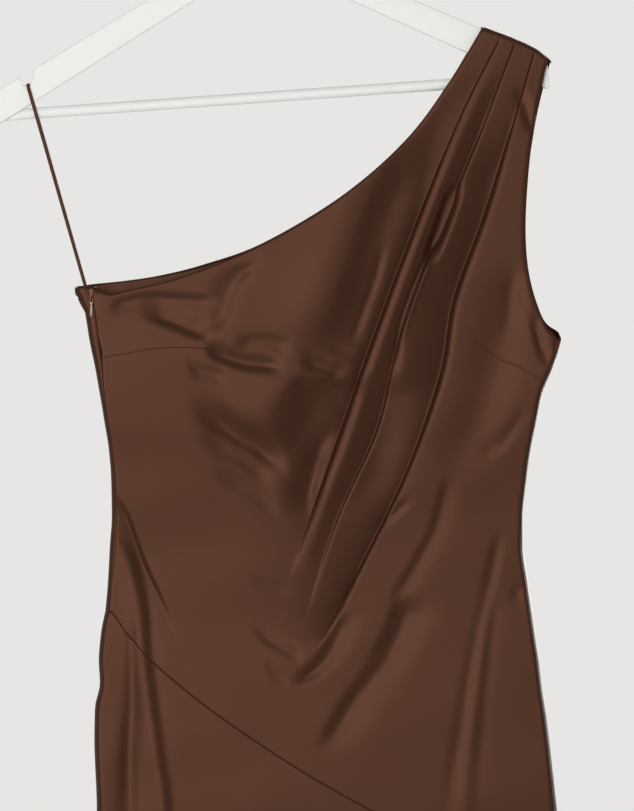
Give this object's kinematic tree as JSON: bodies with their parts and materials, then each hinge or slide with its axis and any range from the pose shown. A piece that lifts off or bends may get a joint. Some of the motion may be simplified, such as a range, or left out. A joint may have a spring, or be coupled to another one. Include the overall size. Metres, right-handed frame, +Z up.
{
  "type": "one-shoulder dress on a hanger",
  "caption": "One-shoulder satin midi dress, pleated at the shoulder, with a diagonal hip seam and side zip, hung on a flat white hanger by its hook.",
  "frame": {"origin": "underside of the crown of the hanger's hook, where a rail bears", "axes": "+Z up, +X to the shoulder side, -Y out of the dress's front"},
  "size_m": [0.5336, 0.0921, 1.3936],
  "materials": {
    "satin": "soft-sheen chocolate satin",
    "ribbon": "narrow satin ribbon",
    "zip_tape": "woven zip tape",
    "zip_metal": "taupe lacquered zip metal",
    "hanger_paint": "white satin paint on wood",
    "hook_metal": "bright plated wire"
  },
  "bodies": {
    "dress": {"front_bodice": "satin", "back_bodice": "satin", "front_skirt": "satin", "back_skirt": "satin", "zip_tape": "zip_tape", "zip_slider": "zip_metal", "hanger_loop": "ribbon", "hanger_arms": "hanger_paint", "hanger_bar": "hanger_paint", "hanger_hook": "hook_metal"},
    "pull_tab": {"zip_pull": "zip_metal"}
  },
  "joints": [
    {"name": "pull", "type": "hinge", "parent": "dress", "child": "pull_tab", "pos_m": [-0.1302, -0.02141, -0.3605], "axis": [-1, 0, 0], "range_deg": [0, 160]}
  ]
}
